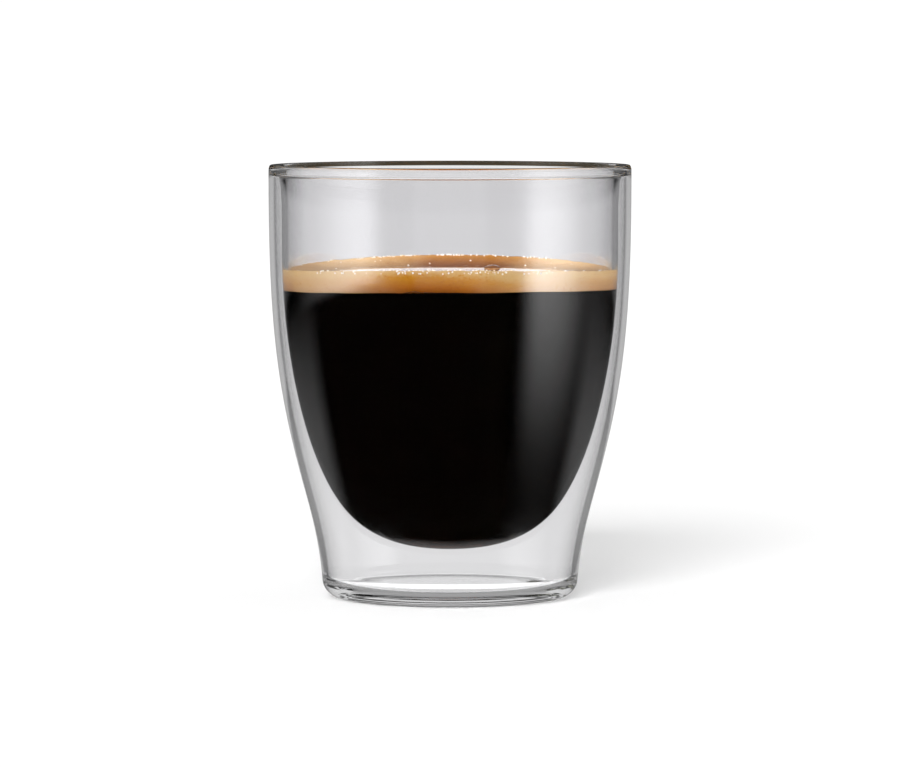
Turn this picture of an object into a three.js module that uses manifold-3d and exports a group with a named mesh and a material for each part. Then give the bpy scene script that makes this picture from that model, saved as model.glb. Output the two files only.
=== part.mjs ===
// Double espresso in a double-walled glass tumbler.
// Millimetres, +Z up. The origin is the centre of the glass's foot, on the surface it stands on.
// The drink is seen from the -Y side, so "front" below is -Y and "back" is +Y.
import * as THREE from 'three';
import { mergeVertices } from 'three/addons/utils/BufferGeometryUtils.js';
import Module from 'manifold-3d';

// Round the axis
const SIDES = 48;
const PLUG_SIDES = 16;

// Steps along each curve of an outline
const WALL_STEPS = 8;
const CORNER_STEPS = 5;
const LIP_STEPS = 3;
const COLLAR_STEPS = 5;

// Outer wall of the glass: a rounded foot, a waist that leans out and a belly that ends upright
const HEIGHT = 71.6;
const OUTER_WALL = 1.0;
const FOOT_RADIUS = 21.2;
const FOOT_CORNER = 3.1;
const FOOT_LEAN = 0.088;
const FOOT_HANDLE = 5.6;
const WAIST_RADIUS = 23.95;
const WAIST_HEIGHT = 17.25;
const WAIST_LEAN = 0.276;
const WAIST_HANDLE_DOWN = 4.5;
const WAIST_HANDLE_UP = 16.6;
const BELLY_RADIUS = 30.0;
const BELLY_TOP = 69.4;
const BELLY_HANDLE = 25.3;

// Lip where the two walls are fused
const LIP_INNER_RADIUS = 27.45;
const LIP_ROUND = 0.9;

// Base: floor of the hollow between the walls, and the shallow dish in the underside
const FLOOR_HEIGHT = 1.9;
const FLOOR_CORNER = 2.2;
const DISH_DEPTH = 0.35;
const DISH_RADIUS = 16.4;
const DISH_EDGE = 0.35;

// Inner bowl, by the face that looks into the hollow: round bottom, shoulder, straight neck, flared mouth
const BOWL_WALL = 0.9;
const BOWL_BOTTOM = 8.1;
const BOWL_BOTTOM_HANDLE = 12.5;
const SHOULDER_RADIUS = 22.0;
const SHOULDER_HEIGHT = 22.7;
const SHOULDER_ANGLE = THREE.MathUtils.degToRad(67.7);
const SHOULDER_HANDLE_DOWN = 11.3;
const SHOULDER_HANDLE_UP = 9.1;
const NECK_RADIUS = 27.82;
const NECK_HEIGHT = 57.6;
const NECK_HANDLE = 13.2;
const FLARE_START = 63.0;
const FLARE_BEND = 67.5;
const FLARE_RADIUS = 28.3;
const FLARE_TOP = 69.9;

// Sealed vent in the base, back and right of the axis
const VENT_REACH = 15.3;
const VENT_ANGLE = THREE.MathUtils.degToRad(22);
const VENT_RADIUS = 0.9;
const PLUG_HEAD_RADIUS = 1.5;
const PLUG_HEAD_HEIGHT = 0.6;
const PLUG_DOME_STEPS = 4;

// Drink: black coffee and the layer of crema on it
const GAP = 0.3;
const COFFEE_TOP = 51.1;
const CREMA_TOP = 54.0;
const COLLAR_RISE = 0.9;
const COLLAR_WIDTH = 6.8;
const COLLAR_BEND = 1.3;
const COLLAR_TILT = 0.33;
const COLLAR_SADDLE = 0.43;

const COLOURS = {
  glass: 0xdfe2e4,
  coffee: 0x0a0605,
  crema: 0xc08a44,
  plug: 0xb9bcc0,
};

const wasm = await Module();
wasm.setup();

const at = (radius, height) => new THREE.Vector2(radius, height);

// Outline of the outer wall's outside, from the top of the foot's round edge up to the lip
function outerWallPath() {
  const path = new THREE.Path();
  path.moveTo(FOOT_RADIUS, FOOT_CORNER);
  path.bezierCurveTo(
    FOOT_RADIUS + FOOT_LEAN * FOOT_HANDLE, FOOT_CORNER + FOOT_HANDLE,
    WAIST_RADIUS - WAIST_LEAN * WAIST_HANDLE_DOWN, WAIST_HEIGHT - WAIST_HANDLE_DOWN,
    WAIST_RADIUS, WAIST_HEIGHT,
  );
  path.bezierCurveTo(
    WAIST_RADIUS + WAIST_LEAN * WAIST_HANDLE_UP, WAIST_HEIGHT + WAIST_HANDLE_UP,
    BELLY_RADIUS, BELLY_TOP - BELLY_HANDLE,
    BELLY_RADIUS, BELLY_TOP,
  );
  return path;
}

// Outline of the bowl's face towards the hollow, from the axis up to the flared mouth
function bowlPath() {
  const leanOut = Math.cos(SHOULDER_ANGLE);
  const leanUp = Math.sin(SHOULDER_ANGLE);
  const path = new THREE.Path();
  path.moveTo(0, BOWL_BOTTOM);
  path.bezierCurveTo(
    BOWL_BOTTOM_HANDLE, BOWL_BOTTOM,
    SHOULDER_RADIUS - leanOut * SHOULDER_HANDLE_DOWN, SHOULDER_HEIGHT - leanUp * SHOULDER_HANDLE_DOWN,
    SHOULDER_RADIUS, SHOULDER_HEIGHT,
  );
  path.bezierCurveTo(
    SHOULDER_RADIUS + leanOut * SHOULDER_HANDLE_UP, SHOULDER_HEIGHT + leanUp * SHOULDER_HANDLE_UP,
    NECK_RADIUS, NECK_HEIGHT - NECK_HANDLE,
    NECK_RADIUS, NECK_HEIGHT,
  );
  path.lineTo(NECK_RADIUS, FLARE_START);
  path.quadraticCurveTo(NECK_RADIUS, FLARE_BEND, FLARE_RADIUS, FLARE_TOP);
  return path;
}

// Points along a path that climbs, moved towards the axis by the given depth
function along(path, depth) {
  const points = [];
  for (const curve of path.curves) {
    const steps = curve.isLineCurve ? 1 : WALL_STEPS;
    const first = points.length === 0 ? 0 : 1;
    for (let i = first; i <= steps; i += 1) {
      const place = curve.getPoint(i / steps);
      const way = curve.getTangent(i / steps);
      points.push(at(Math.max(0, place.x - way.y * depth), place.y + way.x * depth));
    }
  }
  return points;
}

// Points on an arc in the outline's plane, both ends included
function arc(centre, radius, startDegrees, endDegrees, steps) {
  const points = [];
  for (let i = 0; i <= steps; i += 1) {
    const angle = THREE.MathUtils.degToRad(startDegrees + ((endDegrees - startDegrees) * i) / steps);
    points.push(at(centre.x + radius * Math.cos(angle), centre.y + radius * Math.sin(angle)));
  }
  return points;
}

// Radius of a climbing outline at a height
function radiusAt(points, height) {
  const upper = points.findIndex((p) => p.y >= height);
  const above = points[upper];
  const below = points[upper - 1];
  const share = (height - below.y) / (above.y - below.y);
  return below.x + (above.x - below.x) * share;
}

// A closed body of revolution: the outline runs outwards below, up the outside and back to the axis
function revolve(outline, sides = SIDES) {
  const geometry = new THREE.LatheGeometry(outline, sides);
  geometry.rotateX(Math.PI / 2);
  geometry.deleteAttribute('normal');
  geometry.deleteAttribute('uv');
  return withoutSlivers(mergeVertices(geometry));
}

// Drops the triangles that the axis has shrunk to a line
function withoutSlivers(geometry) {
  const corners = geometry.index.array;
  const kept = [];
  for (let i = 0; i < corners.length; i += 3) {
    const [a, b, c] = corners.slice(i, i + 3);
    if (a !== b && b !== c && c !== a) {
      kept.push(a, b, c);
    }
  }
  geometry.setIndex(kept);
  return geometry;
}

function solid(geometry) {
  return new wasm.Manifold(new wasm.Mesh({
    numProp: 3,
    vertProperties: new Float32Array(geometry.attributes.position.array),
    triVerts: new Uint32Array(geometry.index.array),
  }));
}

function geometryOf(body) {
  const mesh = body.getMesh();
  const geometry = new THREE.BufferGeometry();
  geometry.setAttribute('position', new THREE.BufferAttribute(mesh.vertProperties, 3));
  geometry.setIndex(new THREE.BufferAttribute(mesh.triVerts, 1));
  return geometry;
}

function named(name, geometry, finish) {
  geometry.computeVertexNormals();
  const mesh = new THREE.Mesh(geometry, new THREE.MeshStandardMaterial(finish));
  mesh.name = name;
  return mesh;
}

// Both walls, the lip and the base as one outer form, the bowl open at the top
function glassForm() {
  const dish = [at(0, DISH_DEPTH), at(DISH_RADIUS, DISH_DEPTH), at(DISH_RADIUS + DISH_EDGE, 0)];
  const footEdge = arc(at(FOOT_RADIUS - FOOT_CORNER, FOOT_CORNER), FOOT_CORNER, -90, 0, CORNER_STEPS);
  const wall = along(outerWallPath(), 0).slice(1);
  const lipCentre = HEIGHT - LIP_ROUND;
  const lip = [
    ...arc(at(BELLY_RADIUS - LIP_ROUND, lipCentre), LIP_ROUND, 0, 90, LIP_STEPS),
    ...arc(at(LIP_INNER_RADIUS + LIP_ROUND, lipCentre), LIP_ROUND, 90, 180, LIP_STEPS),
  ];
  const inside = along(bowlPath(), BOWL_WALL).reverse();
  return revolve([...dish, ...footEdge, ...wall, ...lip, ...inside]);
}

// The air space between the walls
function hollowForm() {
  const outside = along(outerWallPath(), OUTER_WALL);
  const bowl = along(bowlPath(), 0);
  const cornerTop = FLOOR_HEIGHT + FLOOR_CORNER;
  const side = outside.filter((p) => p.y > cornerTop);
  const sideRadius = radiusAt(outside, cornerTop);
  const corner = arc(at(sideRadius - FLOOR_CORNER, cornerTop), FLOOR_CORNER, -90, 0, CORNER_STEPS);
  const sideTop = side.at(-1);
  const mouth = bowl.at(-1);
  const roof = at((sideTop.x + mouth.x) / 2, Math.max(sideTop.y, mouth.y) + (sideTop.x - mouth.x) / 2);
  return revolve([at(0, FLOOR_HEIGHT), ...corner, ...side, roof, ...bowl.reverse()]);
}

function ventPlace() {
  return new THREE.Vector3(VENT_REACH * Math.cos(VENT_ANGLE), VENT_REACH * Math.sin(VENT_ANGLE), 0);
}

function ventBore() {
  const bore = revolve([
    at(0, -FLOOR_HEIGHT),
    at(VENT_RADIUS, -FLOOR_HEIGHT),
    at(VENT_RADIUS, 2 * FLOOR_HEIGHT),
    at(0, 2 * FLOOR_HEIGHT),
  ], PLUG_SIDES);
  return bore.translate(...ventPlace());
}

function makeGlass() {
  const body = solid(glassForm()).subtract(solid(hollowForm())).subtract(solid(ventBore()));
  return named('glass', geometryOf(body), {
    color: COLOURS.glass, roughness: 0.03, metalness: 0, transparent: true, opacity: 0.35,
  });
}

// Plug that seals the vent: a stem in the bore and a low dome on the floor of the hollow
function makeVentPlug() {
  const stem = VENT_RADIUS - GAP;
  const under = FLOOR_HEIGHT + GAP;
  const dome = [];
  for (let i = 0; i <= PLUG_DOME_STEPS; i += 1) {
    const angle = (Math.PI / 2) * (i / PLUG_DOME_STEPS);
    const reach = i === PLUG_DOME_STEPS ? 0 : PLUG_HEAD_RADIUS * Math.cos(angle);
    dome.push(at(reach, under + PLUG_HEAD_HEIGHT * Math.sin(angle)));
  }
  const outline = [at(0, DISH_DEPTH), at(stem, DISH_DEPTH), at(stem, under), ...dome];
  const geometry = revolve(outline, PLUG_SIDES).translate(...ventPlace());
  return named('vent_plug', geometry, { color: COLOURS.plug, roughness: 0.3, metalness: 0 });
}

// Outline of the drink against the bowl, just clear of the glass
function drinkSide() {
  return along(bowlPath(), BOWL_WALL + GAP);
}

function makeCoffee() {
  const side = drinkSide();
  const wetted = side.filter((p) => p.y < COFFEE_TOP);
  const edge = at(radiusAt(side, COFFEE_TOP), COFFEE_TOP);
  const geometry = revolve([...wetted, edge, at(0, COFFEE_TOP)]);
  return named('coffee', geometry, { color: COLOURS.coffee, roughness: 0.05, metalness: 0 });
}

// Foam clings to the glass in an uneven collar: higher at the back and front than at the sides
function unevenCollar(geometry) {
  const position = geometry.attributes.position;
  for (let i = 0; i < position.count; i += 1) {
    const angle = Math.atan2(position.getY(i), position.getX(i));
    const lift = COLLAR_TILT * Math.sin(angle) - COLLAR_SADDLE * Math.cos(2 * angle);
    const share = Math.max(0, position.getZ(i) - CREMA_TOP) / COLLAR_RISE;
    position.setZ(i, position.getZ(i) + lift * share);
  }
  return geometry;
}

// Crema: a flat pool that climbs the glass in a collar at its edge
function makeCrema() {
  const side = drinkSide();
  const bottom = COFFEE_TOP + GAP;
  const rim = CREMA_TOP + COLLAR_RISE;
  const reach = radiusAt(side, rim);
  const collar = [];
  for (let i = COLLAR_STEPS; i >= 0; i -= 1) {
    const share = i / COLLAR_STEPS;
    collar.push(at(reach - COLLAR_WIDTH * (1 - share), CREMA_TOP + COLLAR_RISE * share ** COLLAR_BEND));
  }
  const outline = [at(0, bottom), at(radiusAt(side, bottom), bottom), ...collar, at(0, CREMA_TOP)];
  return named('crema', unevenCollar(revolve(outline)), {
    color: COLOURS.crema, roughness: 0.4, metalness: 0,
  });
}

const espresso = new THREE.Group();
espresso.add(makeGlass(), makeVentPlug(), makeCoffee(), makeCrema());

export default espresso;
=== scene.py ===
import math
import random

import bpy
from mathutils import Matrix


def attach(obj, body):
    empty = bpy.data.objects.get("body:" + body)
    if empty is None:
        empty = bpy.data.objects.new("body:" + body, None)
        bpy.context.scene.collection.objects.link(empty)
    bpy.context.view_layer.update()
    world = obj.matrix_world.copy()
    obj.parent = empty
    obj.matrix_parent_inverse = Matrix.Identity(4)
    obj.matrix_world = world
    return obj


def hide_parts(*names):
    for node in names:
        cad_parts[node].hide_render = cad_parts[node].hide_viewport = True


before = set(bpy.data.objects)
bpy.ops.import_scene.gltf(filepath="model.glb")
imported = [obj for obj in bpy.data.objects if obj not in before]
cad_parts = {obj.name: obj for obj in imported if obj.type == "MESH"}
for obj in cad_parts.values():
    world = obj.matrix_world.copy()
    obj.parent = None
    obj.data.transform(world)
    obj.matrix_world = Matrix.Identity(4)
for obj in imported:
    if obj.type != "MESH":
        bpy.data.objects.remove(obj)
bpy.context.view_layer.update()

MM = 0.001

# Sides round the axis, and steps along each curve of an outline. A point nearer the axis than ON_AXIS is
# on it, and a ring of points EDGE_LOOP from a sharp edge keeps its shading crisp
ON_AXIS = 1e-9
SIDES = 192
WALL_STEPS = 26
CORNER_STEPS = 12
LIP_STEPS = 16
EDGE_LOOP = 0.25

# Outer wall of the glass: a rounded foot, a waist that leans out and a belly that ends upright
HEIGHT = 71.6
OUTER_WALL = 1.0
FOOT_RADIUS = 21.2
FOOT_CORNER = 3.1
FOOT_LEAN = 0.088
FOOT_HANDLE = 5.6
WAIST_RADIUS = 23.95
WAIST_HEIGHT = 17.25
WAIST_LEAN = 0.276
WAIST_HANDLE_DOWN = 4.5
WAIST_HANDLE_UP = 16.6
BELLY_RADIUS = 30.0
BELLY_TOP = 69.4
BELLY_HANDLE = 25.3

# Lip where the two walls are fused
LIP_INNER_RADIUS = 27.45
LIP_DROP = 1.0
LIP_OUTER_ROUND = 0.4
LIP_INNER_ROUND = 0.06

# Base: floor of the hollow between the walls, and the shallow dish in the underside
FLOOR_HEIGHT = 1.9
FLOOR_CORNER = 2.2
DISH_DEPTH = 0.35
DISH_RADIUS = 15.4
DISH_EDGE = 1.35

# Inner bowl, by the face that looks into the hollow
BOWL_WALL = 0.9
BOWL_BOTTOM = 8.1
BOWL_BOTTOM_HANDLE = 12.5
SHOULDER_RADIUS = 22.0
SHOULDER_HEIGHT = 22.7
SHOULDER_ANGLE = math.radians(67.7)
SHOULDER_HANDLE_DOWN = 11.3
SHOULDER_HANDLE_UP = 9.1
NECK_RADIUS = 27.82
NECK_HEIGHT = 57.6
NECK_HANDLE = 13.2
FLARE_START = 63.0
FLARE_BEND = 67.5
FLARE_RADIUS = 28.3
FLARE_TOP = 69.9

# Vent plug in the base
VENT_REACH = 15.3
VENT_ANGLE = math.radians(22)
PLUG_HEAD_RADIUS = 1.5
PLUG_HEAD_HEIGHT = 0.6
PLUG_SUNK = 0.2
PLUG_SIDES = 48

# Drink. It reaches a little way into the bowl's wall, so that no air shows between them. The coffee's
# uneven top edge evens out COFFEE_EDGE lower down
DRINK_BITE = 0.25
DRINK_LOOP = 0.06
DRINK_SIDES = 384
UNDER_STEPS = 16
COFFEE_TOP = 51.44
COFFEE_SADDLE = 0.27
COFFEE_TILT = 0.15
COFFEE_EDGE = 4.0

# Foam: a collar that climbs the glass round a shallow pool. The shore where they meet is uneven, and
# their faces mix along it
CREMA_TOP = 54.0
CREMA_SIDE_STEPS = 10
COLLAR_RISE = 0.99
COLLAR_WIDTH = 6.8
COLLAR_FOOT = 0.2
COLLAR_TILT = 0.205
COLLAR_SADDLE = 0.47
COLLAR_STEPS = 24
POOL_DIP = 1.3
POOL_STEPS = 64
SHORE_WAVE = 0.6
SHORE_MIX = (-1.35, 0.45)
SHORE_SEED = 5
STEEP_NORMAL = 0.5
EDGE_WAVE = 0.05
FOAM_LUMP = 0.045
FOAM_LUMP_ONSET = 3

# Small bubbles at the glass, just inside it and strewn over the collar, and a large one on the pool.
# One at the glass is set in by a share of its radius and sunk below the foam's edge, or proud of it
RING_BUBBLES = 220
RING_SPREAD = math.radians(24)
STRAY_BUBBLES = 36
BUBBLE_SEED = 21
BUBBLE_RADIUS = (0.10, 0.20)
BUBBLE_SIDES = 10
BUBBLE_PROUD = 0.06
AT_GLASS_SHARE = (0.3, 0.9)
AT_GLASS_SUNK = (-BUBBLE_PROUD, 0.5)
INSIDE_GLASS = (0.2, 0.6)
STRAY_INSIDE = 0.4
LARGE_BUBBLE_PLACE = (7.2, 14.5)
LARGE_BUBBLE_RADIUS = 1.4
LARGE_BUBBLE_HEIGHT = 0.62
LARGE_BUBBLE_SIDES = 40

# How strongly the glass refracts, and how strongly the foam's side mirrors behind it
GLASS_IOR = 1.47
CREMA_SIDE_IOR = 2.4

# Colours along a run from 0 to 1
GLASS_COLOURS = ((0.0, (0.950, 0.951, 0.956)), (1.0, (0.955, 0.953, 0.960)))
# Painted shade: the collar's dark first stop is partly the shade in the crease by the pool
COLLAR_COLOURS = ((0.0, (0.16, 0.044, 0.004)), (0.4, (0.30, 0.10, 0.007)), (1.0, (0.47, 0.20, 0.02)))
CREMA_SIDE_COLOURS = ((0.0, (0.33, 0.082, 0.004)), (0.3, (0.64, 0.21, 0.012)),
                      (0.7, (0.83, 0.36, 0.022)), (1.0, (0.94, 0.60, 0.20)))
# Painted light: the colour that the lamps at the sides paint onto the foam
CREMA_PAINTED_LIGHT = (0.97, 0.70, 0.38)
# Painted reflection: the large bubble's light foot
BUBBLE_COLOURS = ((0.0, (0.5, 0.28, 0.12)), (0.25, (0.17, 0.06, 0.014)))
# Painted light: the coffee's brown first stop, for light shining through it where it is thin
COFFEE_COLOURS = ((0.0, (0.05, 0.017, 0.008)), (0.4, (0.012, 0.005, 0.003)),
                  (1.0, (0.002, 0.001, 0.0006)))
PLUG_COLOURS = ((0.3, (0.05, 0.05, 0.04)), (0.7, (0.13, 0.13, 0.10)))
FROTH_COLOURS = ((0.3, (0.9, 0.75, 0.5)), (0.5, (0.97, 0.94, 0.88)))

# Patterns in the materials: how large they are, and how far they shift a run of colours
GLASS_CLOUD = 12.0
COFFEE_CLOUD = 6.0
COFFEE_BROWN_DEPTH = 2.5
FOAM_CLOUD = 6.0
FOAM_GRAIN = 0.35
FOAM_SPECK = 0.4
SPECK_LEVELS = (0.68, 0.76)
CLOUD_SHIFT = 0.3
GRAIN_SHIFT = 0.5
SPECK_SHIFT = -0.3
COLLAR_BUMP = 0.3
COLLAR_BUMP_DEPTH = 0.03
FROTH_CLOUD = 1.5
BUBBLE_GRAIN = 0.5
BUBBLE_BROWN = 0.8
PLUG_GRAIN = 0.8

# Painted light: the foam is painted paler towards the sides of the glass, where the side lamps light it.
# How far its brown middle turns, and the distances from there over which it pales and then loses some of
# that again. Small spots stay browner. The last values are how much paler the side, the collar and the
# collar's foot get, and the share of its radius from which the pool does
LIT_TURN = -0.1
LIT_STREAK = 8.0
LIT_WANDER = 8
LIT_EDGE = (4, 18)
LIT_END = (20, 27)
LIT_LEFT_AT_END = 0.55
LIT_SPOT = 0.35
LIT_SPOT_LEVELS = (0.68, 0.78)
LIT_LEFT_IN_SPOT = 0.4
LIT_SIDE = 0.68
LIT_COLLAR = 0.7
LIT_FOOT = 0.4
LIT_FROM = 0.3

# How golden the middle of the pool is, and how the collar turns golden up the glass. Painted shade: the
# collar's brown foot, which the pool's edge matches, is partly the shade in the crease between them
POOL_TONE = 0.6
COLLAR_TONE_BEND = 1.5

# Where the foam at the glass is brownest, and how it turns golden from there: painted light from the side
# lamps
SIDE_BROWN = -5.5
SIDE_REACH = 16.0
SIDE_GOLD = 0.4
SIDE_DARK = 0.12

# How rough the foam's pool is: wet in the middle, and duller over a strip along its edge
POOL_ROUGH = 0.07
SHORE_ROUGH = 0.3
SHORE_WIDTH = 1.2

# Camera, at the photograph's viewing angle
IMAGE_WIDTH = 900
CAMERA_BACK = 895.0
CAMERA_HEIGHT = 92.6
CAMERA_PITCH = math.radians(3.66)
PIXELS_PER_RADIAN = 5411.0
SENSOR = 36.0
CLIP_START = 10.0
CLIP_END = 50000.0

# Floor, just under the foot
FLOOR_REACH = 3000.0
FLOOR_GAP = 0.05
FLOOR_GREY = 0.73

# Studio. Levels are light along the elevations, in degrees, that a ray leaves for. Azimuths are
# degrees round the object from the front, and panels are (near edge, peak, far edge, level). Fades,
# OPEN_ABOVE and TABLE_BACK are parts of a ray's direction, up or to the back.
BACKGROUND = 1.05
AMBIENT = 1.0
INSIDE_AMBIENT = 3.9
SEEN_THROUGH = 0.91
EDGE_CLEAR = (1, 1, 1)
EDGE_DARK = (0.06, 0.05, 0.032)
EDGE_LEVELS = ((-4.6, 0), (-3.3, 1))
SURFACE_LEVELS = ((-8.2, 0), (-7.2, 0.36), (-2, 0.36), (0, 0.04), (10, 0.04), (20, 0.5))
WALL_LEVELS = ((-8.2, 0), (-7.2, 0.45), (0, 0.45), (6, 0.7))
OPEN_FRONT = (20, 26)
OPEN_BACK = (148, 156)
OPEN_ABOVE = (0.02, 0.08)
TABLE_LEVELS = ((-18, 0.38), (-11, 0.18), (-6, 0))
TABLE_BACK = (0.1, 0.3)
INSIDE_LEVELS = ((-5, 0), (-3.5, 0.4))
BACKDROP_LEVELS = ((-50, 0), (-40, 0.07), (-18, 0.07), (-14, 0.42), (2, 0.42),
                   (5, 0.8), (12, 0.9), (18, 0.8), (22, 0.05))
BACKDROP = 2.5
BACKDROP_EDGE = (166, 173)
MANY_TIMES = 0.72
RIGHT_PANEL = (45, 63, 104, 1.6)
RIGHT_END = (60, 95, 150, 0.45)
LEFT_PANEL = (40, 62, 122, 0.75)
RIGHT_FADE = (-0.55, -0.05)
RIGHT_FADE_POWER = 1.5
LEFT_FADE = (-0.132, -0.112)
KEY_AZIMUTH = math.radians(-13)
KEY_ELEVATION = math.radians(27)
KEY_SPREAD = math.radians(28)
KEY_POWER = 3.3


# Outlines, from sizes
def bezier(start, first, second, end, steps):
    """Points and unit directions along a cubic curve, both ends included."""
    samples = []
    for i in range(steps + 1):
        t = i / steps
        s = 1 - t
        place = [s**3 * a + 3 * s * s * t * b + 3 * s * t * t * c + t**3 * d
                 for a, b, c, d in zip(start, first, second, end)]
        way = [s * s * (b - a) + 2 * s * t * (c - b) + t * t * (d - c)
               for a, b, c, d in zip(start, first, second, end)]
        length = math.hypot(*way)
        samples.append((place[0], place[1], way[0] / length, way[1] / length))
    return samples


def straight(start, end, steps):
    third = [a + (b - a) / 3 for a, b in zip(start, end)]
    two_thirds = [a + (b - a) * 2 / 3 for a, b in zip(start, end)]
    return bezier(start, third, two_thirds, end, steps)


def inset(path, depth):
    """The path's points, moved towards the axis by depth."""
    points = [(max(0.0, x - up * depth), z + out * depth) for x, z, out, up in path]
    if path[0][0] == 0:
        points[0] = (0.0, points[0][1])
    return points


def oval(centre, across, up, start, end, steps):
    """Points on an oval between two angles in degrees, both ends included."""
    angles = [math.radians(start + (end - start) * i / steps) for i in range(steps + 1)]
    return [(centre[0] + across * math.cos(a), centre[1] + up * math.sin(a)) for a in angles]


def arc(centre, radius, start, end, steps):
    return oval(centre, radius, radius, start, end, steps)


def radius_at(points, height):
    """Radius of a climbing outline at a height."""
    for (r0, z0), (r1, z1) in zip(points, points[1:]):
        if z0 <= height <= z1:
            return r0 + (r1 - r0) * (height - z0) / (z1 - z0)
    raise ValueError(f"the outline doesn't reach {height}")


def outer_wall_path():
    """Outside of the outer wall, from the foot's round edge up to the lip."""
    foot = (FOOT_RADIUS, FOOT_CORNER)
    waist = (WAIST_RADIUS, WAIST_HEIGHT)
    top = (BELLY_RADIUS, BELLY_TOP)
    above_foot = (FOOT_RADIUS + FOOT_LEAN * FOOT_HANDLE, FOOT_CORNER + FOOT_HANDLE)
    below_waist = (WAIST_RADIUS - WAIST_LEAN * WAIST_HANDLE_DOWN, WAIST_HEIGHT - WAIST_HANDLE_DOWN)
    above_waist = (WAIST_RADIUS + WAIST_LEAN * WAIST_HANDLE_UP, WAIST_HEIGHT + WAIST_HANDLE_UP)
    below_top = (BELLY_RADIUS, BELLY_TOP - BELLY_HANDLE)
    lower = bezier(foot, above_foot, below_waist, waist, WALL_STEPS)
    upper = bezier(waist, above_waist, below_top, top, WALL_STEPS)
    return lower + upper[1:]


def bowl_path():
    """The bowl's face towards the hollow, from the axis up to the flared mouth."""
    lean_out = math.cos(SHOULDER_ANGLE)
    lean_up = math.sin(SHOULDER_ANGLE)
    bottom = (0, BOWL_BOTTOM)
    shoulder = (SHOULDER_RADIUS, SHOULDER_HEIGHT)
    neck = (NECK_RADIUS, NECK_HEIGHT)
    flare = (NECK_RADIUS, FLARE_START)
    mouth = (FLARE_RADIUS, FLARE_TOP)
    below = (SHOULDER_RADIUS - lean_out * SHOULDER_HANDLE_DOWN,
             SHOULDER_HEIGHT - lean_up * SHOULDER_HANDLE_DOWN)
    above = (SHOULDER_RADIUS + lean_out * SHOULDER_HANDLE_UP,
             SHOULDER_HEIGHT + lean_up * SHOULDER_HANDLE_UP)
    cup = bezier(bottom, (BOWL_BOTTOM_HANDLE, BOWL_BOTTOM), below, shoulder, 2 * WALL_STEPS)
    side = bezier(shoulder, above, (NECK_RADIUS, NECK_HEIGHT - NECK_HANDLE), neck, WALL_STEPS)
    upright = straight(neck, flare, LIP_STEPS)
    bend = (NECK_RADIUS, FLARE_BEND)
    first = [a + (b - a) * 2 / 3 for a, b in zip(flare, bend)]
    second = [a + (b - a) * 2 / 3 for a, b in zip(mouth, bend)]
    flared = bezier(flare, first, second, mouth, LIP_STEPS)
    return cup + side[1:] + upright[1:] + flared[1:]


def glass_outline():
    """Underside, foot, outer wall, lip and the inside of the bowl."""
    rim = DISH_RADIUS + DISH_EDGE
    dish = [(0, DISH_DEPTH), (DISH_RADIUS - EDGE_LOOP, DISH_DEPTH), (DISH_RADIUS, DISH_DEPTH),
            (rim, 0), (rim + EDGE_LOOP, 0)]
    foot = arc((FOOT_RADIUS - FOOT_CORNER, FOOT_CORNER), FOOT_CORNER, -90, 0, CORNER_STEPS)
    wall = inset(outer_wall_path(), 0)[1:]
    low = HEIGHT - LIP_DROP
    outer, inner = LIP_OUTER_ROUND, LIP_INNER_ROUND
    lip_outside = oval((BELLY_RADIUS - outer, low), outer, LIP_DROP, 0, 90, LIP_STEPS)
    lip_inside = oval((LIP_INNER_RADIUS + inner, low), inner, LIP_DROP, 90, 180, LIP_STEPS)
    bowl = inset(bowl_path(), BOWL_WALL)[::-1]
    return dish + foot + wall + lip_outside + lip_inside + bowl


def hollow_outline():
    """The air space between the walls."""
    outside = inset(outer_wall_path(), OUTER_WALL)
    bowl = inset(bowl_path(), 0)
    corner_top = FLOOR_HEIGHT + FLOOR_CORNER
    side = [p for p in outside if p[1] > corner_top]
    side_radius = radius_at(outside, corner_top)
    flat_radius = side_radius - FLOOR_CORNER
    corner = arc((flat_radius, corner_top), FLOOR_CORNER, -90, 0, CORNER_STEPS)
    side_top, mouth = side[-1], bowl[-1]
    half = (side_top[0] - mouth[0]) / 2
    roof = arc((mouth[0] + half, max(side_top[1], mouth[1])), half, 0, 180, CORNER_STEPS)
    floor = [(0, FLOOR_HEIGHT), (flat_radius - EDGE_LOOP, FLOOR_HEIGHT)]
    return floor + corner + side + roof + bowl[::-1]


# Surface of the drink
def drink_side():
    """Edge of the drink, just inside the bowl's wall."""
    return inset(bowl_path(), BOWL_WALL - DRINK_BITE)


def waves(seed, count, around, across):
    """Random waves round the axis: how many, how they turn with the radius, and where they start."""
    draw = random.Random(seed)
    return [(draw.randint(*around), draw.uniform(-across, across), draw.uniform(0, 2 * math.pi))
            for i in range(count)]


def swell(rippling, radius, angle):
    """Sum of waves at a place, about as large as one of them."""
    total = sum(math.sin(turns * angle + twist * radius + start) for turns, twist, start in rippling)
    return total / math.sqrt(len(rippling))


EDGE_WAVES = waves(seed=3, count=9, around=(3, 17), across=0.0)
FOAM_WAVES = waves(seed=8, count=18, around=(9, 90), across=2.4)


def coffee_lift(radius, angle, height):
    """The line between coffee and foam is higher at the front, back and right, and not quite even."""
    share = max(0.0, (height - COFFEE_TOP + COFFEE_EDGE) / COFFEE_EDGE) * (radius / NECK_RADIUS)
    lean = COFFEE_TILT * math.cos(angle) - COFFEE_SADDLE * math.cos(2 * angle)
    return share * (EDGE_WAVE * swell(EDGE_WAVES, 0, angle) + lean)


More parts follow.
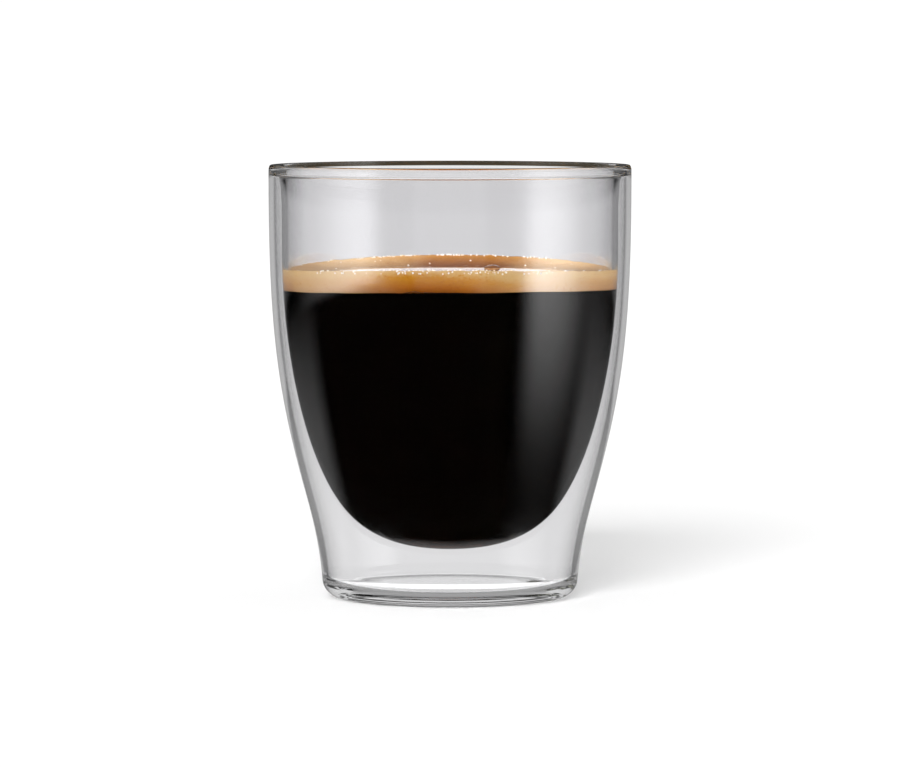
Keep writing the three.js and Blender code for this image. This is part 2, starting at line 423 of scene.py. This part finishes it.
def crema_lift(radius, angle, height):
    """The foam climbs the glass, most at the back, and is lumpy. Its underside follows the coffee."""
    if height > CREMA_TOP:
        share = (height - CREMA_TOP) / COLLAR_RISE
        climb = COLLAR_TILT * math.sin(angle) - COLLAR_SADDLE * math.cos(2 * angle)
        lumps = FOAM_LUMP * min(1.0, FOAM_LUMP_ONSET * share)
        return share * climb + lumps * swell(FOAM_WAVES, radius, angle)
    under = (CREMA_TOP - height) / (CREMA_TOP - COFFEE_TOP)
    return min(1.0, under) * coffee_lift(radius, angle, COFFEE_TOP)


def collar_height(share):
    """Height of the foam's collar at a share of its width: level at its foot, then rising straight."""
    return CREMA_TOP + COLLAR_RISE * (1 + COLLAR_FOOT) * share * share / (share + COLLAR_FOOT)


def collar_profile():
    """Foam surface from the glass down to the pool, as (radius, height)."""
    reach = radius_at(drink_side(), CREMA_TOP + COLLAR_RISE)
    shares = [i / COLLAR_STEPS for i in range(COLLAR_STEPS, -1, -1)]
    return [(reach - COLLAR_WIDTH * (1 - share), collar_height(share)) for share in shares]


def pool_height(share):
    """Height of the foam's pool at a share of its radius: a shallow dish that ends level at its edge."""
    return CREMA_TOP - POOL_DIP * (1 - share * share)**2


def polar(place):
    """Distance from the axis, and angle round it, of a place seen from above."""
    return math.hypot(*place), math.atan2(place[1], place[0])


def foam_height(radius, angle):
    """Height of the foam's surface at a place."""
    pool_edge = collar_profile()[-1][0]
    if radius <= pool_edge:
        height = pool_height(radius / pool_edge)
    else:
        height = collar_height((radius - pool_edge) / COLLAR_WIDTH)
    return height + crema_lift(radius, angle, height)


# Meshes
def revolved(outline, sides=SIDES, inward=False, lift=None):
    """Vertices and faces of a closed body of revolution. The outline runs from the axis to the axis.
    lift, if given, is added to a vertex's height, from its radius, angle and height."""
    verts, rings, faces = [], [], []
    for radius, height in outline:
        ring = []
        for k in range(1 if radius < ON_AXIS else sides):
            angle = 2 * math.pi * k / sides
            raised = height + (lift(radius, angle, height) if lift else 0)
            ring.append(len(verts))
            verts.append((radius * math.cos(angle) * MM, radius * math.sin(angle) * MM, raised * MM))
        rings.append(ring)
    for low, high in zip(rings, rings[1:]):
        for k in range(sides):
            n = (k + 1) % sides
            if len(low) == 1:
                face = (low[0], high[n], high[k])
            elif len(high) == 1:
                face = (low[k], low[n], high[0])
            else:
                face = (low[k], low[n], high[n], high[k])
            faces.append(face[::-1] if inward else face)
    return verts, faces


def joined(*bodies):
    verts, faces = [], []
    for body_verts, body_faces in bodies:
        start = len(verts)
        verts += body_verts
        faces += [tuple(start + i for i in face) for face in body_faces]
    return verts, faces


def ball(centre, radius, height, sides=BUBBLE_SIDES):
    """A rounded bubble, with its radius and its height above and below its centre."""
    side = arc((0, 0), 1, -90, 90, sides // 2)[1:-1]
    outline = [(0, -1)] + side + [(0, 1)]
    verts, faces = revolved([(radius * x, height * z) for x, z in outline], sides=sides)
    return [tuple(a + b * MM for a, b in zip(vert, centre)) for vert in verts], faces


def make_piece(name, body, material, slot, *nodes):
    mesh = bpy.data.meshes.new(name)
    mesh.from_pydata(body[0], [], body[1])
    mesh.shade_smooth()
    mesh.materials.append(material)
    piece = bpy.data.objects.new(name, mesh)
    bpy.context.scene.collection.objects.link(piece)
    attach(piece, "root")
    if nodes:
        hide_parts(*nodes)
    return piece


# Shader nodes
def node_value(tree, operation, *values):
    """The output of a Math node. A value is a number or another node's output."""
    node = tree.nodes.new("ShaderNodeMath")
    node.operation = operation
    for socket, value in zip(node.inputs, values):
        if isinstance(value, (int, float)):
            socket.default_value = value
        else:
            tree.links.new(value, socket)
    return node.outputs[0]


def ramp(tree, value, start, end, low=0.0, high=1.0):
    """Goes smoothly from low to high as value goes from start to end, and stays there."""
    node = tree.nodes.new("ShaderNodeMapRange")
    node.interpolation_type = "SMOOTHSTEP"
    tree.links.new(value, node.inputs["Value"])
    node.inputs["From Min"].default_value = start
    node.inputs["From Max"].default_value = end
    node.inputs["To Min"].default_value = low
    node.inputs["To Max"].default_value = high
    return node.outputs["Result"]


def slope(tree, value, start, end):
    """Goes straight from 0 to 1 as value goes from start to end, and stays there."""
    node = tree.nodes.new("ShaderNodeMapRange")
    tree.links.new(value, node.inputs["Value"])
    node.inputs["From Min"].default_value = start
    node.inputs["From Max"].default_value = end
    return node.outputs["Result"]


def choose(tree, share, without, chosen):
    """without where share is 0 and chosen where it is 1."""
    change = node_value(tree, "SUBTRACT", chosen, without)
    return node_value(tree, "MULTIPLY_ADD", share, change, without)


def new_material(name):
    material = bpy.data.materials.new(name)
    material.use_nodes = True
    tree = material.node_tree
    return material, tree, tree.nodes["Principled BSDF"]


def place_in(tree):
    """Place of a shaded point, in the object's own space."""
    return tree.nodes.new("ShaderNodeTexCoord").outputs["Object"]


def parts_of(tree, place):
    """How far a place is to the right, to the back and up."""
    node = tree.nodes.new("ShaderNodeSeparateXYZ")
    tree.links.new(place, node.inputs[0])
    return node.outputs[:]


def height_of(tree, place):
    return parts_of(tree, place)[2]


def radius_of(tree, place):
    """Distance of a place from the glass's axis."""
    right, back, _ = parts_of(tree, place)
    square = node_value(tree, "MULTIPLY_ADD", right, right, node_value(tree, "MULTIPLY", back, back))
    return node_value(tree, "SQRT", square)


def cloud(tree, place, size, detail=2.0):
    """Cloudy pattern between 0 and 1, with features of about a size in millimetres."""
    node = tree.nodes.new("ShaderNodeTexNoise")
    tree.links.new(place, node.inputs["Vector"])
    node.inputs["Scale"].default_value = 1 / (size * MM)
    node.inputs["Detail"].default_value = detail
    return node.outputs["Fac"]


def shifted(tree, tone, place, size, shift):
    """A tone that a cloudy pattern makes up to half a shift larger or smaller."""
    change = node_value(tree, "SUBTRACT", cloud(tree, place, size), 0.5)
    return node_value(tree, "MULTIPLY_ADD", change, shift, tone)


def colours(tree, share, stops):
    """Runs between colours as share goes from 0 to 1."""
    node = tree.nodes.new("ShaderNodeValToRGB")
    elements = node.color_ramp.elements
    while len(elements) < len(stops):
        elements.new(1.0)
    for element, (position, colour) in zip(elements, stops):
        element.position = position
        element.color = (*colour, 1)
    tree.links.new(share, node.inputs["Fac"])
    return node.outputs["Color"]


def relief(tree, height, depth):
    """Normals of a surface that a height pattern raises by up to depth millimetres."""
    node = tree.nodes.new("ShaderNodeBump")
    node.inputs["Strength"].default_value = 1.0
    node.inputs["Distance"].default_value = depth * MM
    tree.links.new(height, node.inputs["Height"])
    return node.outputs["Normal"]


def mottled(tree, place, tone):
    """A tone with cloudy streaks, fine grain and a few dark specks in it."""
    streaked = shifted(tree, tone, place, FOAM_CLOUD, CLOUD_SHIFT)
    grainy = shifted(tree, 1.0, place, FOAM_GRAIN, GRAIN_SHIFT)
    specks = ramp(tree, cloud(tree, place, FOAM_SPECK, detail=0.0), *SPECK_LEVELS)
    speckled = node_value(tree, "MULTIPLY_ADD", specks, SPECK_SHIFT, grainy)
    return node_value(tree, "MULTIPLY", streaked, speckled)


def blended(tree, share, first, second):
    """A colour between a socket's and fixed red, green and blue values."""
    node = tree.nodes.new("ShaderNodeMix")
    node.data_type = "RGBA"
    tree.links.new(share, node.inputs[0])
    tree.links.new(first, node.inputs[6])
    node.inputs[7].default_value = (*second, 1)
    return node.outputs[2]


def aside(tree, place, middle, turn):
    """Distance to the left or right of a line from front to back, which passes a middle and may turn."""
    right, back, _ = parts_of(tree, place)
    across = node_value(tree, "MULTIPLY_ADD", back, turn, right)
    return node_value(tree, "ABSOLUTE", node_value(tree, "SUBTRACT", across, middle * MM))


def painted_side_light(tree, place, colour, share):
    """The colour painted paler towards the glass's sides, by up to a share: painted light from lamps there.
    """
    away = shifted(tree, aside(tree, place, 0.0, LIT_TURN), place, LIT_STREAK, LIT_WANDER * MM)
    lit_share = ramp(tree, away, *(edge * MM for edge in LIT_EDGE))
    ends = ramp(tree, away, *(end * MM for end in LIT_END), 1.0, LIT_LEFT_AT_END)
    spots = cloud(tree, place, LIT_SPOT, detail=0.0)
    spots = ramp(tree, spots, *LIT_SPOT_LEVELS, 1.0, LIT_LEFT_IN_SPOT)
    for part in (ends, spots, share):
        lit_share = node_value(tree, "MULTIPLY", lit_share, part)
    return blended(tree, lit_share, colour, CREMA_PAINTED_LIGHT)


# Materials
def glass_material():
    """Clear glass, a shade deeper in the thick base."""
    material, tree, shader = new_material("clear_glass")
    place = place_in(tree)
    tone = slope(tree, height_of(tree, place), 0.0, 2 * FLOOR_HEIGHT * MM)
    tone = shifted(tree, tone, place, GLASS_CLOUD, CLOUD_SHIFT)
    tree.links.new(colours(tree, tone, GLASS_COLOURS), shader.inputs["Base Color"])
    shader.inputs["Roughness"].default_value = 0.0
    shader.inputs["IOR"].default_value = GLASS_IOR
    shader.inputs["Transmission Weight"].default_value = 1.0
    return material


def coffee_material():
    """Black coffee, painted brown at the bottom of the bowl, for light shining through the thin coffee
    there.
    """
    material, tree, shader = new_material("black_coffee")
    place = place_in(tree)
    bottom = BOWL_BOTTOM + BOWL_WALL
    # Painted light: brown near the bottom, for light shining through the thin coffee there
    tone = slope(tree, height_of(tree, place), bottom * MM, (bottom + COFFEE_BROWN_DEPTH) * MM)
    tone = shifted(tree, tone, place, COFFEE_CLOUD, CLOUD_SHIFT)
    tree.links.new(colours(tree, tone, COFFEE_COLOURS), shader.inputs["Base Color"])
    shader.inputs["Roughness"].default_value = 0.2
    shader.inputs["Specular IOR Level"].default_value = 0.02
    return material


def crema_collar_material():
    """Foam climbing the glass: brown at its foot, partly painted shade, golden higher up, with a fine lumpy
    skin.
    """
    material, tree, shader = new_material("crema_collar")
    place = place_in(tree)
    collar = collar_profile()
    reach, edge = collar[0][0], collar[-1][0]
    climb = slope(tree, radius_of(tree, place), edge * MM, reach * MM)
    # Painted shade: the brown at the collar's foot is partly the shade in the crease by the pool
    tone = node_value(tree, "POWER", climb, COLLAR_TONE_BEND)
    golden = colours(tree, mottled(tree, place, tone), COLLAR_COLOURS)
    lit_share = node_value(tree, "MULTIPLY_ADD", tone, LIT_COLLAR - LIT_FOOT, LIT_FOOT)
    # Painted light: paler towards the sides of the glass, for the lamps at the sides
    tree.links.new(painted_side_light(tree, place, golden, lit_share), shader.inputs["Base Color"])
    lumps = cloud(tree, place, COLLAR_BUMP)
    tree.links.new(relief(tree, lumps, COLLAR_BUMP_DEPTH), shader.inputs["Normal"])
    shader.inputs["Roughness"].default_value = 0.6
    shader.inputs["Specular IOR Level"].default_value = 0.05
    return material


def crema_pool_material():
    """Smooth wet middle of the foam: golden, and at its edge as brown as the collar's foot, partly painted
    shade.
    """
    material, tree, shader = new_material("crema_pool")
    place = place_in(tree)
    radius = radius_of(tree, place)
    edge = collar_profile()[-1][0]
    # Painted shade: browner towards the edge, like the collar's foot, partly for the shade in the crease
    tone = node_value(tree, "MULTIPLY", slope(tree, radius, edge * MM, 0.0), POOL_TONE)
    golden = colours(tree, mottled(tree, place, tone), COLLAR_COLOURS)
    lit_share = ramp(tree, radius, LIT_FROM * edge * MM, edge * MM, 0.0, LIT_FOOT)
    # Painted light: paler towards the sides of the glass, for the lamps at the sides
    tree.links.new(painted_side_light(tree, place, golden, lit_share), shader.inputs["Base Color"])
    rough = ramp(tree, radius, (edge - SHORE_WIDTH) * MM, edge * MM, POOL_ROUGH, SHORE_ROUGH)
    tree.links.new(rough, shader.inputs["Roughness"])
    return material


def crema_side_material():
    """Foam against the glass: brown next to the coffee, paler upwards, and painted light towards the sides.
    """
    material, tree, shader = new_material("crema_at_glass")
    place = place_in(tree)
    tone = slope(tree, height_of(tree, place), COFFEE_TOP * MM, collar_profile()[0][1] * MM)
    tone = node_value(tree, "SUBTRACT", tone, SIDE_DARK)
    # Painted light: golden away from the brownest line, for the lamps at the sides
    away = slope(tree, aside(tree, place, SIDE_BROWN, 0.0), 0.0, SIDE_REACH * MM)
    tone = node_value(tree, "MULTIPLY_ADD", away, SIDE_GOLD, tone)
    golden = colours(tree, mottled(tree, place, tone), CREMA_SIDE_COLOURS)
    # Painted light: paler towards the sides of the glass, for the lamps at the sides
    tree.links.new(painted_side_light(tree, place, golden, LIT_SIDE), shader.inputs["Base Color"])
    shader.inputs["Roughness"].default_value = 0.06
    shader.inputs["IOR"].default_value = CREMA_SIDE_IOR
    shader.inputs["Specular IOR Level"].default_value = 1.0
    return material


def froth_material():
    """Thin small bubbles, paler than the foam that they sit on."""
    material, tree, shader = new_material("crema_froth")
    tone = cloud(tree, place_in(tree), FROTH_CLOUD)
    tree.links.new(colours(tree, tone, FROTH_COLOURS), shader.inputs["Base Color"])
    shader.inputs["Roughness"].default_value = 0.08
    return material


def bubble_material():
    """A large bubble, brown on top, with a painted reflection that makes it light where it rises from the
    foam.
    """
    material, tree, shader = new_material("crema_bubble")
    place = place_in(tree)
    low = foam_height(*polar(LARGE_BUBBLE_PLACE))
    high = low + BUBBLE_BROWN * LARGE_BUBBLE_HEIGHT
    # Painted reflection: light at the foot of the dome and brown on top
    tone = slope(tree, height_of(tree, place), low * MM, high * MM)
    tone = shifted(tree, tone, place, BUBBLE_GRAIN, CLOUD_SHIFT)
    tree.links.new(colours(tree, tone, BUBBLE_COLOURS), shader.inputs["Base Color"])
    shader.inputs["Roughness"].default_value = 0.1
    return material


def plug_material():
    """Dark satin seal, a little mottled."""
    material, tree, shader = new_material("vent_seal")
    tone = cloud(tree, place_in(tree), PLUG_GRAIN)
    tree.links.new(colours(tree, tone, PLUG_COLOURS), shader.inputs["Base Color"])
    shader.inputs["Roughness"].default_value = 0.3
    return material


# Pieces
def make_glass():
    body = joined(revolved(glass_outline()), revolved(hollow_outline(), inward=True))
    make_piece("glass_body", body, glass_material(), "glass", "glass")


def make_coffee():
    side = drink_side()
    wetted = [p for p in side if p[1] < COFFEE_TOP - DRINK_LOOP]
    wetted += [(radius_at(side, COFFEE_TOP - DRINK_LOOP), COFFEE_TOP - DRINK_LOOP)]
    edge = (radius_at(side, COFFEE_TOP), COFFEE_TOP)
    top = [(edge[0] * (1 - i / UNDER_STEPS), COFFEE_TOP) for i in range(1, UNDER_STEPS + 1)]
    body = revolved(wetted + [edge] + top, sides=DRINK_SIDES, lift=coffee_lift)
    make_piece("coffee_body", body, coffee_material(), "coffee", "coffee")


def make_crema():
    """The foam, with a material each for its collar, its pool and its side against the glass."""
    side = drink_side()
    edge = radius_at(side, COFFEE_TOP)
    under = [(edge * i / UNDER_STEPS, COFFEE_TOP) for i in range(UNDER_STEPS + 1)]
    low = COFFEE_TOP + DRINK_LOOP
    rise = (CREMA_TOP + COLLAR_RISE - DRINK_LOOP - low) / CREMA_SIDE_STEPS
    heights = [low + rise * i for i in range(CREMA_SIDE_STEPS + 1)]
    against_glass = [(radius_at(side, height), height) for height in heights]
    collar = collar_profile()
    pool_edge = collar[-1][0]
    shares = [1 - i / POOL_STEPS for i in range(1, POOL_STEPS + 1)]
    pool = [(pool_edge * share, pool_height(share)) for share in shares]
    body = revolved(under + against_glass + collar + pool, sides=DRINK_SIDES, lift=crema_lift)
    piece = make_piece("crema_layer", body, crema_collar_material(), "crema", "crema")
    piece.data.materials.append(crema_pool_material())
    piece.data.materials.append(crema_side_material())
    draw = random.Random(SHORE_SEED)
    for face in piece.data.polygons:
        radius, angle = polar(face.center[:2])
        shore = pool_edge + SHORE_WAVE * swell(EDGE_WAVES, 0, angle) + draw.uniform(*SHORE_MIX)
        if abs(face.normal.z) < STEEP_NORMAL:
            face.material_index = 2
        elif radius < shore * MM:
            face.material_index = 1


def make_froth():
    """Small bubbles where the foam meets the glass, at the front and back, and strays all round."""
    draw = random.Random(BUBBLE_SEED)
    reach = collar_profile()[0][0]
    balls = []
    for i in range(RING_BUBBLES + STRAY_BUBBLES):
        size = draw.uniform(*BUBBLE_RADIUS)
        side = draw.choice((-1, 1)) * math.pi / 2
        angle = draw.gauss(side, RING_SPREAD)
        depth = size * draw.uniform(*AT_GLASS_SHARE)
        sunk = draw.uniform(*AT_GLASS_SUNK)
        if i % 2:
            depth = draw.uniform(*INSIDE_GLASS)
            sunk = -BUBBLE_PROUD
        if i >= RING_BUBBLES:
            angle = draw.uniform(0, 2 * math.pi)
            depth = draw.triangular(STRAY_INSIDE, COLLAR_WIDTH, STRAY_INSIDE)
            sunk = 0.0
        radius = reach - depth
        height = foam_height(radius, angle) - sunk
        balls.append(ball((radius * math.cos(angle), radius * math.sin(angle), height), size, size))
    make_piece("crema_bubbles", joined(*balls), froth_material(), "crema")


def make_large_bubble():
    height = foam_height(*polar(LARGE_BUBBLE_PLACE))
    centre = (*LARGE_BUBBLE_PLACE, height)
    dome = ball(centre, LARGE_BUBBLE_RADIUS, LARGE_BUBBLE_HEIGHT, LARGE_BUBBLE_SIDES)
    make_piece("large_bubble", dome, bubble_material(), "crema")


def make_plug():
    dome = arc((0, 0), 1, 0, 90, CORNER_STEPS)
    base = FLOOR_HEIGHT - PLUG_SUNK
    outline = [(0, base)]
    outline += [(PLUG_HEAD_RADIUS * x, base + PLUG_HEAD_HEIGHT * z) for x, z in dome[:-1]]
    outline += [(0, base + PLUG_HEAD_HEIGHT)]
    verts, faces = revolved(outline, sides=PLUG_SIDES)
    x = VENT_REACH * math.cos(VENT_ANGLE) * MM
    y = VENT_REACH * math.sin(VENT_ANGLE) * MM
    verts = [(a + x, b + y, c) for a, b, c in verts]
    make_piece("vent_seal", (verts, faces), plug_material(), "vent_plug", "vent_plug")


# Camera, floor and light
def make_camera():
    data = bpy.data.cameras.new("camera")
    data.sensor_width = SENSOR
    data.lens = SENSOR * PIXELS_PER_RADIAN / IMAGE_WIDTH
    data.clip_start = CLIP_START * MM
    data.clip_end = CLIP_END * MM
    camera = bpy.data.objects.new("camera", data)
    camera.location = (0, -CAMERA_BACK * MM, CAMERA_HEIGHT * MM)
    camera.rotation_euler = (math.pi / 2 - CAMERA_PITCH, 0, 0)
    bpy.context.scene.collection.objects.link(camera)
    bpy.context.scene.camera = camera


def make_floor():
    reach, low = FLOOR_REACH * MM, -FLOOR_GAP * MM
    corners = [(-reach, -reach, low), (reach, -reach, low), (reach, reach, low), (-reach, reach, low)]
    mesh = bpy.data.meshes.new("floor")
    mesh.from_pydata(corners, [], [(0, 1, 2, 3)])
    material, _, shader = new_material("pale_floor")
    shader.inputs["Base Color"].default_value = (FLOOR_GREY, FLOOR_GREY, FLOOR_GREY, 1)
    shader.inputs["Roughness"].default_value = 0.9
    shader.inputs["Specular IOR Level"].default_value = 0.0
    mesh.materials.append(material)
    floor = bpy.data.objects.new("floor", mesh)
    bpy.context.scene.collection.objects.link(floor)
    floor.visible_glossy = False
    floor.visible_transmission = False


def softbox(tree, azimuth, edge, peak, far, level):
    """A panel of light seen in reflections, between two azimuths in degrees from the front."""
    rise = ramp(tree, azimuth, math.radians(edge), math.radians(peak))
    fall = ramp(tree, azimuth, math.radians(peak), math.radians(far), 1.0, 0.0)
    panel = node_value(tree, "MULTIPLY", rise, fall)
    return node_value(tree, "MULTIPLY", panel, level)


def turned_past(tree, turned, edge, before=0.0, after=1.0):
    """Changes from before to after where the turn from the front passes an edge, given in degrees."""
    return ramp(tree, turned, math.radians(edge[0]), math.radians(edge[1]), before, after)


def by_height(tree, height, levels):
    """Runs straight between (elevation in degrees, level) pairs. height is the elevation's sine."""
    stops = []
    for elevation, level in levels:
        position = (math.sin(math.radians(elevation)) + 1) / 2
        stops.append((position, (level, level, level)))
    return colours(tree, node_value(tree, "MULTIPLY_ADD", height, 0.5, 0.5), stops)


def at_least(tree, count, times):
    """1 where a ray's count has come to a number of times, and 0 before."""
    return node_value(tree, "GREATER_THAN", count, times - 0.5)


def rest_of(tree, share):
    return node_value(tree, "SUBTRACT", 1.0, share)


def reflected_studio(tree, depth, mirrors, right, back, up):
    """What the glass mirrors, at its surfaces and inside, with a soft panel of light on each side."""
    front = node_value(tree, "MULTIPLY", back, -1.0)
    azimuth = node_value(tree, "ARCTAN2", right, front)
    opposite = node_value(tree, "MULTIPLY", azimuth, -1.0)
    turned = node_value(tree, "ABSOLUTE", azimuth)
    right_fade = node_value(tree, "POWER", slope(tree, up, *RIGHT_FADE), RIGHT_FADE_POWER)
    right_panel = node_value(tree, "MULTIPLY", softbox(tree, azimuth, *RIGHT_PANEL), right_fade)
    left_fade = ramp(tree, up, *LEFT_FADE)
    left_panel = node_value(tree, "MULTIPLY", softbox(tree, opposite, *LEFT_PANEL), left_fade)
    lit = node_value(tree, "ADD", right_panel, left_panel)

    ahead = turned_past(tree, turned, OPEN_FRONT, 1.0, 0.0)
    open_side = node_value(tree, "MAXIMUM", ahead, turned_past(tree, turned, OPEN_BACK))
    open_side = node_value(tree, "MAXIMUM", open_side, ramp(tree, up, *OPEN_ABOVE))
    in_wall = at_least(tree, depth, 1)
    levels = choose(tree, in_wall, by_height(tree, up, SURFACE_LEVELS), by_height(tree, up, WALL_LEVELS))
    towards_back = slope(tree, back, *TABLE_BACK)
    table = node_value(tree, "MULTIPLY", by_height(tree, up, TABLE_LEVELS), towards_back)
    outside = node_value(tree, "MAXIMUM", node_value(tree, "MULTIPLY", levels, open_side), table)
    many = at_least(tree, mirrors, 2)
    outside = choose(tree, many, outside, MANY_TIMES)
    behind = node_value(tree, "MULTIPLY", turned_past(tree, turned, BACKDROP_EDGE), BACKDROP)
    backdrop = node_value(tree, "MULTIPLY", by_height(tree, up, BACKDROP_LEVELS), behind)
    backdrop = choose(tree, many, backdrop, 0.0)
    inside = node_value(tree, "MAXIMUM", backdrop, by_height(tree, up, INSIDE_LEVELS))
    right_end = node_value(tree, "MULTIPLY", softbox(tree, azimuth, *RIGHT_END), right_fade)
    inside = node_value(tree, "ADD", inside, right_end)
    past_wall = at_least(tree, depth, 3)
    return node_value(tree, "ADD", lit, choose(tree, past_wall, outside, inside))


def make_world():
    """White behind the object, and a soft studio in what it mirrors, lets through and receives."""
    world = bpy.data.worlds.new("studio")
    world.use_nodes = True
    bpy.context.scene.world = world
    tree = world.node_tree
    right, back, up = parts_of(tree, tree.nodes.new("ShaderNodeTexCoord").outputs["Generated"])
    path = tree.nodes.new("ShaderNodeLightPath").outputs
    depth = path["Transmission Depth"]
    mirrors = path["Glossy Depth"]
    mirrored = at_least(tree, mirrors, 1)
    spread = at_least(tree, path["Diffuse Depth"], 1)
    past_wall = at_least(tree, depth, 3)

    received = choose(tree, path["Is Diffuse Ray"], INSIDE_AMBIENT, AMBIENT)
    clear = choose(tree, mirrored, SEEN_THROUGH, reflected_studio(tree, depth, mirrors, right, back, up))
    around = choose(tree, spread, clear, received)
    level = choose(tree, path["Is Camera Ray"], around, BACKGROUND)

    edge = path["Is Transmission Ray"]
    for other in (by_height(tree, up, EDGE_LEVELS), past_wall, mirrored, spread):
        edge = node_value(tree, "MULTIPLY", edge, rest_of(tree, other))
    tint = colours(tree, edge, ((0.0, EDGE_CLEAR), (1.0, EDGE_DARK)))
    tree.links.new(tint, tree.nodes["Background"].inputs["Color"])
    tree.links.new(level, tree.nodes["Background"].inputs["Strength"])


def make_key():
    """A broad, even light from the front left, which throws a soft shadow back to the right."""
    data = bpy.data.lights.new("key", "SUN")
    data.angle = KEY_SPREAD
    data.energy = KEY_POWER
    key = bpy.data.objects.new("key", data)
    key.rotation_euler = (math.pi / 2 - KEY_ELEVATION, 0, KEY_AZIMUTH)
    bpy.context.scene.collection.objects.link(key)
    key.visible_glossy = False
    key.visible_transmission = False
    key.visible_camera = False


make_glass()
make_coffee()
make_crema()
make_froth()
make_large_bubble()
make_plug()
make_camera()
make_floor()
make_world()
make_key()

# Colours as they are, and enough bounces for light to pass four walls of glass
scene = bpy.context.scene
scene.view_settings.view_transform = "Standard"
scene.cycles.max_bounces = 24
scene.cycles.transmission_bounces = 24
scene.cycles.glossy_bounces = 12
